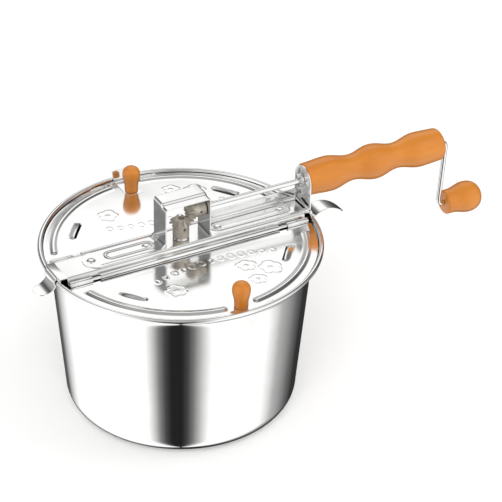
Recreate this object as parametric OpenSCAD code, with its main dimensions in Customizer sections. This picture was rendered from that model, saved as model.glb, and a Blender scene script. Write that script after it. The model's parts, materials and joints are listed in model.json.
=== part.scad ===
// Stovetop popcorn maker: a tapered steel pot with a rolled rim, a clip-on lid with two
// hinged half flaps on a central bridge, and a hand crank that turns a stirrer through a
// pair of equal bevel gears. The origin is the centre of the pot's flat base, +Z is up,
// +X points along the wooden grip and -Y is the front.

/* [Pot] */
// Outer radius of the rolled rim
rim_r = 130; // [116:1:156]
// Height of the rim above the base
pot_h = 165; // [138:1:198]
// Thickness of the pot's sheet
pot_t = 1.2; // [0.8:0.1:1.6]
// Radius of the bead rolled along the rim
bead_r = 2.2; // [1.8:0.1:2.6]
// Radial width of the sloping flange inside the bead
flange_w = 8.6; // [7.2:0.1:10.3]
// Drop from the bead to the foot of the flange
flange_drop = 9; // [7.5:0.1:10.8]
// How far the wall draws in between flange and base
wall_taper = 12.3; // [6:0.1:15]
// Radius of the corner between wall and base
corner_r = 18; // [10:1:22]

/* [Lid] */
// Radial distance from the rim's outside to the edge of a flap
flap_inset = 5.3; // [5.1:0.1:6.4]
// Thickness of a flap
flap_t = 1; // [0.8:0.1:1.2]
// Height of the bridge's top above the flaps
bridge_rise = 5.8; // [5.2:0.1:6.4]
// Width of the bridge's flat top
bridge_w = 29.2; // [26:0.1:31]
// Thickness of the bridge's sheet
bridge_t = 1.2; // [0.8:0.1:1.4]
// Distance of each hinge line from the middle
hinge_y = 20; // [19:0.5:24]
// Radius of a hinge pin
hinge_pin_r = 1.5; // [1.2:0.1:1.7]
// Outer radius of a hinge barrel
barrel_r = 2.9; // [2.7:0.1:3.2]
// Height of the hinge line above the flap's top
hinge_rise = 1.1; // [0.9:0.1:1.4]
// Length of each bridge knuckle
knuckle_len = 21.5; // [17:0.5:25]
// Gap between a bridge knuckle and the flap's barrel
knuckle_gap = 9; // [3:0.5:12]

/* [Vents and beads] */
// Distance of the vent slots from the middle
vent_r = 99; // [90:1:104]
// Length of a vent slot
vent_len = 26; // [20:1:30]
// Width of a vent slot
vent_w = 4; // [3:0.5:6]
// Angle of a vent slot from the bridge
vent_angle = 38; // [34:1:44]
// Distance of the stiffening bead from the flap's edge
rib_inset = 9.2; // [8:0.1:11]
// Half width of the stiffening bead
rib_r = 2; // [1.5:0.1:2.5]

/* [Flap knobs] */
// Distance of the front knob from the middle
front_knob_y = 116; // [98:1:117]
// Distance of the rear knob from the middle
rear_knob_y = 102; // [85:1:108]
// Height of a flap knob
knob_h = 25; // [22:0.1:29]
// Radius at the foot of a flap knob
knob_foot_r = 6.4; // [5.4:0.1:7]
// Radius at the widest part of a flap knob
knob_bulb_r = 8.4; // [7.5:0.1:10]
// Width of the lift tab under the rear knob
tab_w = 16; // [13:1:19]

/* [Handle] */
// Length of the wooden grip
grip_len = 146; // [122:1:175]
// Radius of the grip at its swellings
grip_swell_r = 16.6; // [15.4:0.1:19]
// Radius of the grip at its waists
grip_waist_r = 12.2; // [10.2:0.1:14]
// Thickness of the handle bracket's sheet
bracket_t = 1.2; // [1:0.1:1.5]
// Width of the handle bracket
bracket_w = 26; // [24:0.1:28]
// Height of the crank's axis above the bracket
axis_rise = 25.2; // [22:0.1:30]

/* [Crank] */
// Radius of the crank rod
rod_r = 2.5; // [2:0.1:3]
// Distance between the crank's axis and the hand knob's axis
crank_drop = 68; // [56:1:82]
// Backward lean of the crank arm
crank_lean = 4; // [0:1:6]
// Length of the hand knob
hand_knob_len = 39; // [33:1:46]
// Radius at the widest part of the hand knob
hand_knob_r = 15; // [13:0.1:18]

/* [Gears] */
// Number of teeth on each bevel gear
teeth = 10; // [10:2:14]
// Pitch radius at the outer end of the teeth
pitch_r = 10; // [9:0.1:10.6]
// Width of the toothed face along the axis
face_w = 4.2; // [3:0.1:5]
// Radius of a gear's hub
hub_r = 7.6; // [6.8:0.1:8]

/* [Stirrer] */
// Radius of the stirrer shaft
shaft_r = 3; // [2.5:0.1:3.4]
// Radius of the stirrer wire
wire_r = 1.5; // [1:0.1:1.8]
// Angle of the wire from the bridge at rest
wire_angle = 35; // [0:5:90]

/* [Hidden] */
$fn = 96;

STEEL = "silver";
WOOD = "peru";
CAST = "tan";

// Clearances
fit_gap = 0.08;      // a turning pin in its hole, on the radius
part_gap = 0.3;      // parts that pass each other
bore_gap = 0.6;      // the rod inside the grip, on the radius
seat_gap = 0.2;      // the seated lid above the rim
end_gap = 5.4;       // the bridge's side walls and the rim's bead
slit = 0.02;         // cutters run past a face by this much

// Pot
bead_x = rim_r - bead_r;
bead_z = pot_h - bead_r;
wall_r = bead_x - flange_w;
flange_z = bead_z - flange_drop;
base_r = wall_r - wall_taper;
wall_lean = atan(wall_taper / (flange_z - corner_r));

// Bridge
roll_r = 1.5;
roll_x = bead_x - 0.8;
roll_z = pot_h + seat_gap + roll_r;
bridge_top = roll_z + roll_r;
flap_top = bridge_top - bridge_rise;
hinge_z = flap_top + hinge_rise;
bridge_foot_z = hinge_z - barrel_r;
wall_spread = 2;
wall_end_x = bead_x - bead_r - end_gap;
knuckle_x = wall_end_x - knuckle_len;
flap_barrel_x = knuckle_x - knuckle_gap;

// Handle and gearing
bracket_top = bridge_top + bracket_t;
axis_z = bracket_top + axis_rise;
plate_r = 14.5;
plate_x = roll_x;
bracket_end_x = -(rim_r - 32);
rivet_x = [bracket_end_x + 8, -35, 37, plate_x - 25];
rivet_r = 2;
rivet_head_r = 4.2;
rivet_head_h = 1.5;
rear_lip_h = 11;
grip_screw_y = 8.5;
grip_screw_r = 1.5;
grip_screw_len = 16;

// Gear housing
house_left = -21.5;
house_right = 24.5;
house_w = 24;
house_h = 42;
house_t = 1.2;
house_step = 2.2;
house_tab_w = 8;
house_ear = 4;

// Gears
gear_pin_r = 1.25;
bushing_flange_t = 1;
hub_back = axis_rise - bushing_flange_t - seat_gap;
tip_angle = 45 + atan(0.113);
root_angle = 45 - atan(0.141);

// Crank
bend_r = 5.5;
rod_start_x = pitch_r - face_w + 0.8;
grip_end_x = plate_x + grip_len;
bend_x = grip_end_x + 2;
turn = 90 + crank_lean;
arm_len = (crank_drop - 2 * bend_r * (1 - cos(turn))) / sin(turn);
pin_x = bend_x + 2 * bend_r * sin(turn) + arm_len * cos(turn);
arm_lap = 0.4;       // the arm runs this far into each bend
arm_draw = 0.05;     // and is drawn this much thinner
knob_axis_z = axis_z - crank_drop;
hand_knob_x = pin_x + 1;
hand_foot_r = 11.7;
hand_bore_len = hand_knob_len - 9;
retainer_t = 1.2;
groove_r = rod_r - 0.5;

// Stirrer
shaft_foot_z = pot_t + 1.2;
wire_z = shaft_foot_z + wire_r + 1.4;
wire_bend_r = 6;
wire_reach = base_r - 12;
wire_tip_h = 9;
bushing_foot_z = bridge_foot_z + 1;
collar_t = 2.4;

// Flap knobs
knob_screw_r = 2;
knob_screw_head_r = 3.6;
knob_screw_head_h = 1.8;
knob_screw_depth = 14;
tab_t = 0.8;

// Clips
clip_t = 0.8;
clip_w = 20;
clip_wrap = 0.5;
hook_in = 1.2;

// Points on an arc around c, from angle a to angle b, in n steps
function arc_points(c, r, a, b, n) =
    [for (i = [0:n]) c + r * [cos(a + (b - a) * i / n), sin(a + (b - a) * i / n)]];

// Points on a quadratic curve from p to s, pulled towards q, without its first point
function curve_points(p, q, s, n) =
    [for (i = [1:n]) let (t = i / n) (1 - t) * (1 - t) * p + 2 * t * (1 - t) * q + t * t * s];

// Unit normal on the left of the step from p to q
function left_of(p, q) = let (d = q - p) [-d.y, d.x] / norm(d);

// The path moved sideways by d, mitred at its corners
function shifted(path, d) =
    [for (i = [0:len(path) - 1])
        let (a = left_of(path[max(i - 1, 0)], path[max(i, 1)]),
             last = len(path) - 1,
             b = left_of(path[min(i, last - 1)], path[min(i + 1, last)]))
        path[i] + d * (a + b) / (1 + a * b)];

// The outline of a sheet of thickness t along a centre line
function sheet_outline(path, t) =
    let (left = shifted(path, t / 2), right = shifted(path, -t / 2), last = len(path) - 1)
    concat(left, [for (i = [0:last]) right[last - i]]);

// Smooth step from a to b as t goes from 0 to 1
function ease(a, b, t) = a + (b - a) * (1 - cos(180 * t)) / 2;

// Outline of a turned knob: a straight foot, a swelling and a domed end
function knob_outline(len, foot_r, bulb_r, foot_len, bulb_at) =
    let (steps = 14, dome = len - bulb_at)
    concat([[0, 0], [foot_r - 0.5, 0], [foot_r, 0.5]],
           [for (i = [0:steps]) let (t = i / steps)
               [ease(foot_r, bulb_r, t), foot_len + (bulb_at - foot_len) * t]],
           [for (i = [1:steps]) let (a = 90 * i / steps)
               [bulb_r * pow(cos(a), 0.72), bulb_at + dome * pow(sin(a), 0.95)]]);

// A sheet bent along a path in X and Z, w wide across Y
module bent_sheet(path, t, w) {
    rotate([90, 0, 0])
        linear_extrude(w, center = true) polygon(sheet_outline(path, t));
}

// A cylinder along X from x0 to x1 at the given height
module rod_x(x0, x1, r, y = 0, z = 0) {
    translate([x0, y, z]) rotate([0, 90, 0]) cylinder(h = x1 - x0, r = r);
}

// A domed head that sits on z = 0
module dome_head(r, h) {
    ball_r = (r * r + h * h) / (2 * h);
    rotate_extrude()
        intersection() {
            translate([0, h - ball_r]) circle(ball_r);
            square([r, h]);
        }
}

module pot() {
    arc_c = [base_r - corner_r, pot_t / 2 + corner_r];
    bead_c = [bead_x, bead_z];
    path = concat([[0, pot_t / 2]],
                  arc_points(arc_c, corner_r, -90, -wall_lean, 10),
                  [[wall_r, flange_z], bead_c]);
    inside = shifted(path, pot_t / 2);
    outside = shifted(path, -pot_t / 2);
    last = len(path) - 1;
    // the sheet runs into the bead at this angle, half its thickness either side
    enter = 180 + atan(flange_drop / flange_w);
    half = asin(pot_t / 2 / bead_r);
    outline = concat([for (i = [0:last - 1]) inside[i]],
                     arc_points(bead_c, bead_r, enter - half, enter - 360 + half, 32),
                     [for (i = [1:last]) outside[last - i]]);
    color(STEEL) rotate_extrude($fn = 180) polygon(outline);
}

// The slots that hold the tabs of the gear housing
module house_slots(z0, z1, gap) {
    for (x = [house_left, house_right - house_t])
        translate([x - gap, -house_tab_w / 2 - gap, z0])
            cube([house_t + 2 * gap, house_tab_w + 2 * gap, z1 - z0]);
}

module bridge() {
    half = bridge_w / 2 - 0.4;
    top_z = bridge_top - bridge_t / 2;
    section = [[-half - wall_spread, bridge_foot_z], [-half, top_z],
               [half, top_z], [half + wall_spread, bridge_foot_z]];
    tab_y = half + wall_spread;
    color(STEEL) difference() {
        union() {
            // channel along the middle
            rotate([90, 0, 90])
                linear_extrude(2 * wall_end_x, center = true)
                    polygon(sheet_outline(section, bridge_t));
            // flat ends over the rim, with rolled lips
            translate([-roll_x, -half, bridge_top - bridge_t])
                cube([2 * roll_x, 2 * half, bridge_t]);
            for (side = [-1, 1])
                translate([side * roll_x, 0, roll_z]) rotate([90, 0, 0])
                    cylinder(h = 2 * half, r = roll_r, center = true);
            // hinge knuckles
            for (side = [-1, 1], end = [-1, 1])
                translate([end * (knuckle_x + knuckle_len / 2), side * hinge_y, 0]) {
                    translate([0, 0, hinge_z]) rotate([0, 90, 0])
                        cylinder(h = knuckle_len, r = barrel_r, center = true);
                    translate([0, -side * (hinge_y - tab_y) / 2, bridge_foot_z + bridge_t / 2])
                        cube([knuckle_len, hinge_y - tab_y + bridge_t, bridge_t], center = true);
                }
        }
        for (side = [-1, 1])
            rod_x(-wall_end_x - slit, wall_end_x + slit, hinge_pin_r, side * hinge_y, hinge_z);
        for (x = rivet_x)
            translate([x, 0, bridge_top - 3]) cylinder(h = 4, r = rivet_r);
        translate([0, 0, bridge_top - 3]) cylinder(h = 4, r = shaft_r + 2);
        house_slots(bridge_top - 3, bridge_top + 1, fit_gap);
    }
}

module handle_bracket() {
    half = bracket_w / 2;
    color(STEEL) difference() {
        union() {
            // strap with a rounded left end
            translate([0, 0, bridge_top]) {
                translate([bracket_end_x + half, 0, 0]) cylinder(h = bracket_t, r = half);
                translate([bracket_end_x + half, -half, 0])
                    cube([plate_x - bracket_end_x - half, bracket_w, bracket_t]);
            }
            // upturned lip along the rear of the right half
            translate([house_right + 1.5, half - bracket_t, bridge_top])
                cube([plate_x - house_right - 1.5, bracket_t, rear_lip_h]);
            // end plate with an arched top
            translate([plate_x - bracket_t, -plate_r, bridge_top])
                cube([bracket_t, 2 * plate_r, axis_z - bridge_top]);
            rod_x(plate_x - bracket_t, plate_x, plate_r, 0, axis_z);
        }
        rod_x(plate_x - 3, plate_x + 1, rod_r + fit_gap, 0, axis_z);
        for (side = [-1, 1])
            rod_x(plate_x - 3, plate_x + 1, grip_screw_r, side * grip_screw_y, axis_z);
        for (x = rivet_x)
            translate([x, 0, bridge_top - 1]) cylinder(h = 4, r = rivet_r);
        translate([0, 0, bridge_top - 1]) cylinder(h = 4, r = shaft_r + 2);
        house_slots(bridge_top - 1, bracket_top + 1, fit_gap);
        translate([plate_x - 34, half + 1, bridge_top + 7]) rotate([90, 0, 0])
            cylinder(h = 4, r = 1.2);
    }
}

module bracket_rivets() {
    color(STEEL) for (x = rivet_x)
        translate([x, 0, 0]) {
            translate([0, 0, bracket_top]) dome_head(rivet_head_r, rivet_head_h);
            translate([0, 0, bridge_top - bridge_t])
                cylinder(h = bracket_t + bridge_t, r = rivet_r);
            translate([0, 0, bridge_top - bridge_t - 1]) cylinder(h = 1, r = rivet_r + 1.5);
        }
}

module gear_housing() {
    top = house_h - house_t / 2;
    half = house_w / 2;
    roof = [[half, top], [-0.2 * half, top], [-0.4 * half, top - house_step],
            [-half, top - house_step]];
    side_wall = concat(roof, [[-half, 0], [half, 0]]);
    color(STEEL) translate([0, 0, bracket_top]) difference() {
        union() {
            translate([house_left, 0, 0]) rotate([90, 0, 90])
                linear_extrude(house_right - house_left) polygon(sheet_outline(roof, house_t));
            for (x = [house_left, house_right - house_t])
                translate([x, 0, 0]) rotate([90, 0, 90]) linear_extrude(house_t) polygon(side_wall);
            house_slots(-bracket_t - bridge_t - 0.6, 1, 0);
            // small ears bent outwards at the feet
            for (y = [-half, half - 3]) {
                translate([house_left - house_ear, y, 0]) cube([house_ear + 0.5, 3, 1]);
                translate([house_right - 0.5, y, 0]) cube([house_ear / 2, 3, 1]);
            }
        }
        rod_x(house_right - 3, house_right + 1, rod_r + fit_gap, 0, axis_rise);
    }
}

module hinge_pin() {
    rod_x(-wall_end_x - 0.5, wall_end_x + 0.5, hinge_pin_r, 0, hinge_z);
}

module front_hinge_pin() {
    color(STEEL) translate([0, -hinge_y, 0]) hinge_pin();
}

module rear_hinge_pin() {
    color(STEEL) translate([0, hinge_y, 0]) hinge_pin();
}

// Radius of the grip at a share of its length: two waists between three swellings
function grip_radius(t) =
    let (stops = [0, 0.17, 0.34, 0.5, 0.665, 0.83, 1],
         radii = [grip_swell_r - 1.3, grip_swell_r, grip_waist_r, grip_swell_r,
                  grip_waist_r, grip_swell_r, grip_swell_r - 1],
         k = max([for (i = [0:5]) t >= stops[i] ? i : 0]))
    ease(radii[k], radii[k + 1], (t - stops[k]) / (stops[k + 1] - stops[k]));

module grip() {
    round_r = 4;
    steps = 60;
    body_len = grip_len - round_r;
    end_r = grip_radius(1) - round_r;
    outline = concat([[0, 0], [grip_radius(0) - 0.6, 0]],
                     [for (i = [0:steps]) let (z = 0.6 + (body_len - 0.6) * i / steps)
                         [grip_radius(z / grip_len) , z]],
                     arc_points([end_r, body_len], round_r, 0, 90, 8),
                     [[0, grip_len]]);
    color(WOOD) translate([plate_x, 0, axis_z]) rotate([0, 90, 0]) difference() {
        rotate_extrude() polygon(outline);
        translate([0, 0, -1]) cylinder(h = grip_len + 2, r = rod_r + bore_gap);
        for (side = [-1, 1])
            translate([0, side * grip_screw_y, -1])
                cylinder(h = grip_screw_len + 1, r = grip_screw_r);
    }
}

module grip_screws() {
    color(STEEL) for (side = [-1, 1])
        translate([plate_x - bracket_t, side * grip_screw_y, axis_z]) {
            rotate([0, 90, 0]) cylinder(h = bracket_t + grip_screw_len - 1, r = grip_screw_r);
            rotate([0, -90, 0]) dome_head(2.9, 1.6);
        }
}

module shaft_bushing() {
    color(STEEL) difference() {
        union() {
            translate([0, 0, bushing_foot_z])
                cylinder(h = bracket_top - bushing_foot_z, r = shaft_r + 2);
            translate([0, 0, bracket_top]) cylinder(h = bushing_flange_t, r = shaft_r + 4);
        }
        translate([0, 0, bushing_foot_z - 1])
            cylinder(h = bracket_top - bushing_foot_z + 4, r = shaft_r + fit_gap);
    }
}

// One half of the lid, on the front side, with its knob hole at knob_y
module half_flap(knob_y) {
    edge_r = rim_r - flap_inset;
    rib_at = edge_r - rib_inset;
    rib_from = 18;
    rib_to = 83;
    difference() {
        union() {
            intersection() {
                translate([0, 0, flap_top - flap_t]) cylinder(h = flap_t, r = edge_r, $fn = 180);
                translate([-edge_r, -edge_r, 0])
                    cube([2 * edge_r, edge_r - hinge_y, pot_h + 50]);
            }
            rod_x(-flap_barrel_x, flap_barrel_x, barrel_r, -hinge_y, hinge_z);
            // stiffening beads, one on each side of the knob
            translate([0, 0, flap_top])
                for (start = [180 + rib_from, 360 - rib_to])
                    rotate([0, 0, start])
                        rotate_extrude(angle = rib_to - rib_from)
                            intersection() {
                                translate([rib_at, -rib_r / 2]) circle(rib_r * 1.1, $fn = 24);
                                translate([rib_at - rib_r, -flap_t / 2])
                                    square([2 * rib_r, rib_r + flap_t]);
                            }
        }
        // room for the bridge's knuckles
        for (end = [-1, 1])
            translate([end > 0 ? flap_barrel_x : -edge_r - 1, -hinge_y - barrel_r - 0.6,
                       flap_top - 10])
                cube([edge_r + 1 - flap_barrel_x, barrel_r * 2, 20]);
        rod_x(-edge_r, edge_r, hinge_pin_r + fit_gap, -hinge_y, hinge_z);
        for (side = [0, 1])
            rotate([0, 0, side == 0 ? -vent_angle : 180 + vent_angle])
                translate([vent_r, 0, flap_top - flap_t - 1]) {
                    translate([-vent_w / 2, -(vent_len - vent_w) / 2, 0])
                        cube([vent_w, vent_len - vent_w, flap_t + 4]);
                    for (end = [-1, 1])
                        translate([0, end * (vent_len - vent_w) / 2, 0])
                            cylinder(h = flap_t + 4, r = vent_w / 2);
                }
        translate([0, -knob_y, flap_top - 5]) cylinder(h = 10, r = knob_screw_r + 0.2);
    }
}

module front_flap() {
    color(STEEL) half_flap(front_knob_y);
}

module rear_flap() {
    color(STEEL) mirror([0, 1, 0]) half_flap(rear_knob_y);
}

// A knob that stands on z = 0, with a blind hole for its screw
module flap_knob() {
    difference() {
        rotate_extrude() polygon(knob_outline(knob_h, knob_foot_r, knob_bulb_r, 4, 0.7 * knob_h));
        translate([0, 0, -1]) cylinder(h = knob_screw_depth + 2, r = knob_screw_r);
    }
}

// A screw whose head hangs below z = 0
module flap_knob_screw(grip_t) {
    translate([0, 0, -knob_screw_head_h]) cylinder(h = knob_screw_head_h, r = knob_screw_head_r);
    cylinder(h = grip_t + knob_screw_depth, r = knob_screw_r);
}

module front_knob() {
    color(WOOD) translate([0, -front_knob_y, flap_top]) flap_knob();
}

module front_knob_screw() {
    color(STEEL) translate([0, -front_knob_y, flap_top - flap_t]) flap_knob_screw(flap_t);
}

module rear_knob() {
    color(WOOD) translate([0, rear_knob_y, flap_top + tab_t]) flap_knob();
}

module rear_knob_screw() {
    color(STEEL) translate([0, rear_knob_y, flap_top - flap_t]) flap_knob_screw(flap_t + tab_t);
}

module rear_lift_tab() {
    bend = 7;
    rise_angle = 65;
    lift = 5.5;
    start_r = rim_r - 10.5;
    floor_z = flap_top + tab_t / 2;
    arc_c = [start_r, floor_z + bend];
    top = arc_c + bend * [sin(rise_angle), -cos(rise_angle)];
    path = concat([[rear_knob_y - knob_foot_r - 2, floor_z]],
                  arc_points(arc_c, bend, -90, rise_angle - 90, 8),
                  [top + lift * [cos(rise_angle), sin(rise_angle)]]);
    color(STEEL) difference() {
        rotate([0, 0, 90]) bent_sheet(path, tab_t, tab_w);
        translate([0, rear_knob_y, flap_top - 1]) cylinder(h = 4, r = knob_screw_r + 0.2);
    }
}

// A quarter bend of the rod, starting at the origin along +X and turning downwards
module rod_bend(angle) {
    translate([0, 0, -bend_r]) rotate([90, 0, 0]) rotate([0, 0, 90 - angle])
        rotate_extrude(angle = angle) translate([bend_r, 0]) circle(rod_r, $fn = 48);
}

module crank_rod() {
    groove_x = hand_knob_x + 0.5;
    groove_end_x = groove_x + retainer_t + 0.4;
    color(STEEL) difference() {
        union() {
            rod_x(rod_start_x, bend_x, rod_r, 0, axis_z);
            translate([bend_x, 0, axis_z]) {
                rod_bend(turn);
                translate([bend_r * sin(turn), 0, -bend_r * (1 - cos(turn))])
                    rotate([0, 90 + turn, 0]) translate([0, 0, -arm_lap])
                        cylinder(h = arm_len + 2 * arm_lap, r = rod_r - arm_draw);
            }
            translate([pin_x, 0, knob_axis_z]) mirror([1, 0, 0]) mirror([0, 0, 1])
                rod_bend(turn);
            // pin of the hand knob, with a groove for its retaining ring
            rod_x(pin_x, groove_x, rod_r, 0, knob_axis_z);
            rod_x(groove_x, groove_end_x, groove_r, 0, knob_axis_z);
            rod_x(groove_end_x, hand_knob_x + hand_bore_len - 1, rod_r, 0, knob_axis_z);
        }
        drive_pin_hole();
    }
}

module drive_pin_hole() {
    translate([pitch_r + 7, 0, axis_z]) rotate([90, 0, 0])
        cylinder(h = 40, r = gear_pin_r, center = true);
}

module driven_pin_hole() {
    translate([0, 0, axis_z - pitch_r - 4.6]) rotate([90, 0, 0])
        cylinder(h = 40, r = gear_pin_r, center = true);
}

// A bevel gear on the Z axis below its cone's apex at the origin, teeth upwards
module bevel_gear(phase, back, bore_r) {
    step = 360 / teeth;
    root = pitch_r * tan(root_angle);
    tip = pitch_r * tan(tip_angle);
    flank = [[root, -0.33], [pitch_r, -0.205], [tip, -0.1],
             [tip, 0.1], [pitch_r, 0.205], [root, 0.33]];
    outline = [for (i = [0:teeth - 1], p = flank)
        let (a = phase + (i + p.y) * step) p.x * [cos(a), sin(a)]];
    difference() {
        union() {
            translate([0, 0, -pitch_r])
                linear_extrude(face_w, scale = (pitch_r - face_w) / pitch_r) polygon(outline);
            translate([0, 0, -back]) cylinder(h = back - pitch_r + 0.5, r = hub_r);
        }
        translate([0, 0, -back - 1]) cylinder(h = back + 2, r = bore_r);
    }
}

module drive_gear() {
    color(CAST) difference() {
        translate([0, 0, axis_z]) rotate([0, -90, 0])
            bevel_gear(180 / teeth, house_right - house_t - 0.6, rod_r);
        drive_pin_hole();
    }
}

module drive_gear_pin() {
    color(STEEL) intersection() {
        drive_pin_hole();
        rod_x(pitch_r, pitch_r + 14, hub_r - 1.2, 0, axis_z);
    }
}

module driven_gear() {
    color(CAST) difference() {
        translate([0, 0, axis_z]) bevel_gear(0, hub_back, shaft_r);
        driven_pin_hole();
    }
}

module driven_gear_pin() {
    color(STEEL) intersection() {
        driven_pin_hole();
        translate([0, 0, axis_z - hub_back]) cylinder(h = hub_back, r = hub_r - 1.2);
    }
}

module rod_retainer() {
    washer_x = plate_x - bracket_t - part_gap - 1;
    color(STEEL) difference() {
        union() {
            rod_x(washer_x, washer_x + 1, rod_r + 2.3, 0, axis_z);
            rod_x(washer_x - 1.6, washer_x, rod_r + 1, 0, axis_z);
        }
        rod_x(washer_x - 3, washer_x + 3, rod_r, 0, axis_z);
    }
}

module crank_knob() {
    color(WOOD) translate([hand_knob_x, 0, knob_axis_z]) rotate([0, 90, 0]) difference() {
        rotate_extrude()
            polygon(knob_outline(hand_knob_len, hand_foot_r, hand_knob_r, 6, 0.62 * hand_knob_len));
        translate([0, 0, -1]) cylinder(h = hand_bore_len + 1, r = rod_r + fit_gap);
        translate([0, 0, -1]) cylinder(h = retainer_t + 1.7, r = rod_r + 3.5);
    }
}

module knob_retainer() {
    color(STEEL) translate([hand_knob_x + 0.7, 0, knob_axis_z]) rotate([0, 90, 0]) difference() {
        cylinder(h = retainer_t - 0.2, r = rod_r + 3.5);
        translate([0, 0, -1]) cylinder(h = retainer_t + 2, r = groove_r + fit_gap);
    }
}

// The cross hole and the straight run of the stirrer wire
module wire_run(reach) {
    rotate([0, 0, wire_angle]) rod_x(-reach, reach, wire_r, 0, wire_z);
}

module stirrer_shaft() {
    color(STEEL) difference() {
        translate([0, 0, shaft_foot_z])
            cylinder(h = axis_z - pitch_r + 1 - shaft_foot_z, r = shaft_r);
        wire_run(shaft_r + 2);
        driven_pin_hole();
    }
}

module stirrer_wire() {
    straight = wire_reach - wire_bend_r;
    color(STEEL) {
        wire_run(straight);
        for (half = [0, 180])
            rotate([0, 0, wire_angle + half]) translate([straight, 0, wire_z + wire_bend_r]) {
                rotate([90, 0, 0]) rotate([0, 0, -90]) rotate_extrude(angle = 90)
                    translate([wire_bend_r, 0]) circle(wire_r, $fn = 48);
                translate([wire_bend_r, 0, 0]) cylinder(h = wire_tip_h, r = wire_r);
            }
    }
}

module shaft_collar() {
    color(STEEL) translate([0, 0, bushing_foot_z - part_gap - collar_t]) difference() {
        cylinder(h = collar_t, r = shaft_r + 2.6);
        translate([0, 0, -1]) cylinder(h = collar_t + 2, r = shaft_r);
    }
}

// Centre line of a clip: round the bridge's lip, down outside the bead and under it
function clip_wrap_path() =
    let (curl_r = roll_r + 0.1 + clip_t / 2,
         outside_x = rim_r + clip_wrap + clip_t / 2)
    concat(arc_points([roll_x, roll_z], curl_r, 68, -12, 6),
           [[outside_x, bead_z + 1.2], [outside_x, bead_z - 1.6],
            [rim_r - hook_in + clip_t / 2, bead_z - 3.2]]);

module clip(path, tip_x, root_w, tip_w) {
    round_x = tip_x - tip_w / 2;
    intersection() {
        bent_sheet(path, clip_t, root_w);
        translate([0, 0, pot_h - 60]) linear_extrude(120) {
            translate([roll_x - 10, -root_w / 2]) square([rim_r + 3 - roll_x + 10, root_w]);
            polygon([[rim_r + 3, root_w / 2], [rim_r + 3, -root_w / 2],
                     [round_x, -tip_w / 2], [round_x, tip_w / 2]]);
            translate([round_x, 0]) circle(tip_w / 2);
        }
    }
}

module left_clip() {
    tip_x = rim_r + 17;
    start = [rim_r + 1.5, bead_z - 6.3];
    tongue = curve_points(start, [rim_r + 6, bead_z - 11], [tip_x + 1, bead_z - 10.3], 8);
    color(STEEL) mirror([1, 0, 0])
        clip(concat(clip_wrap_path(), [start], tongue), tip_x, clip_w, 18);
}

module right_clip() {
    tip_x = rim_r + 39;
    start = [rim_r + 2, bead_z - 7];
    lever = curve_points(start, [rim_r + 20, bead_z + 7.4], [tip_x + 1, bead_z - 13.5], 14);
    color(STEEL) clip(concat(clip_wrap_path(), [start], lever), tip_x, clip_w, 15);
}

pot();
bridge();
handle_bracket();
gear_housing();
bracket_rivets();
front_hinge_pin();
rear_hinge_pin();
grip();
grip_screws();
shaft_bushing();
front_flap();
front_knob();
front_knob_screw();
rear_flap();
rear_knob();
rear_knob_screw();
rear_lift_tab();
crank_rod();
drive_gear();
drive_gear_pin();
rod_retainer();
crank_knob();
knob_retainer();
stirrer_shaft();
driven_gear();
driven_gear_pin();
shaft_collar();
stirrer_wire();
left_clip();
right_clip();
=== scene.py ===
"""Looks of the stovetop popcorn maker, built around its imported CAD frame. All lengths are in metres."""
import json
import math

import bmesh
import bpy
import numpy as np
from mathutils import Matrix, Vector


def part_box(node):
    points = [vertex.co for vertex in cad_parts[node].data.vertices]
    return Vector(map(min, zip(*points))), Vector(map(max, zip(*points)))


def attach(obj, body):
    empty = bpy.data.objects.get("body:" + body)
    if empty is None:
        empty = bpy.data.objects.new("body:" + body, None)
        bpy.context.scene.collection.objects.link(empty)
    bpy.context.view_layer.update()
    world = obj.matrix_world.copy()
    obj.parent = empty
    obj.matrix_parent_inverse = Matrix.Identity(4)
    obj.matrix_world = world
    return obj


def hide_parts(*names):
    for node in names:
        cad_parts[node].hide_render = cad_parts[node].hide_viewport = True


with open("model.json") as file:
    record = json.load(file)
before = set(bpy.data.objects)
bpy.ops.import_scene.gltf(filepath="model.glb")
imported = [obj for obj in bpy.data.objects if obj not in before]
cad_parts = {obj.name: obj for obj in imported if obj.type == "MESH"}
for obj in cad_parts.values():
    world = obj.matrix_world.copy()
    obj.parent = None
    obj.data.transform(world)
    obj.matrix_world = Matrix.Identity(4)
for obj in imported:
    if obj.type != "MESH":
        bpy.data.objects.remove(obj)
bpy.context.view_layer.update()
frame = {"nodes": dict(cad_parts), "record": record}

# ---------------------------------------------------------------- sizes, from the frame
MM = 0.001
POT_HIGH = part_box("pot")[1]
RIM_R = POT_HIGH.x
POT_H = POT_HIGH.z
BRIDGE_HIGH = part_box("bridge")[1]
BRIDGE_TOP = BRIDGE_HIGH.z
BRACKET_LOW, BRACKET_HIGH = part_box("handle_bracket")
PLATE_X = BRACKET_HIGH.x
PIN_LOW, PIN_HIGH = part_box("rear_hinge_pin")
HINGE_Y = (PIN_LOW.y + PIN_HIGH.y) / 2
HINGE_Z = (PIN_LOW.z + PIN_HIGH.z) / 2
PIN_X = PIN_HIGH.x
FLAP_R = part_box("rear_flap")[1].y
GRIP_LOW, GRIP_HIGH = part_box("grip")
AXIS_Z = (GRIP_LOW.z + GRIP_HIGH.z) / 2
GRIP_LEN = GRIP_HIGH.x - GRIP_LOW.x
HOUSE_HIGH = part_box("gear_housing")[1]
HAND_LOW, HAND_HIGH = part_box("crank_knob")
ROD_LOW, ROD_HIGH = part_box("crank_rod")
SHAFT_LOW, SHAFT_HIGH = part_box("stirrer_shaft")
WIRE_LOW, WIRE_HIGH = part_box("stirrer_wire")

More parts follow.
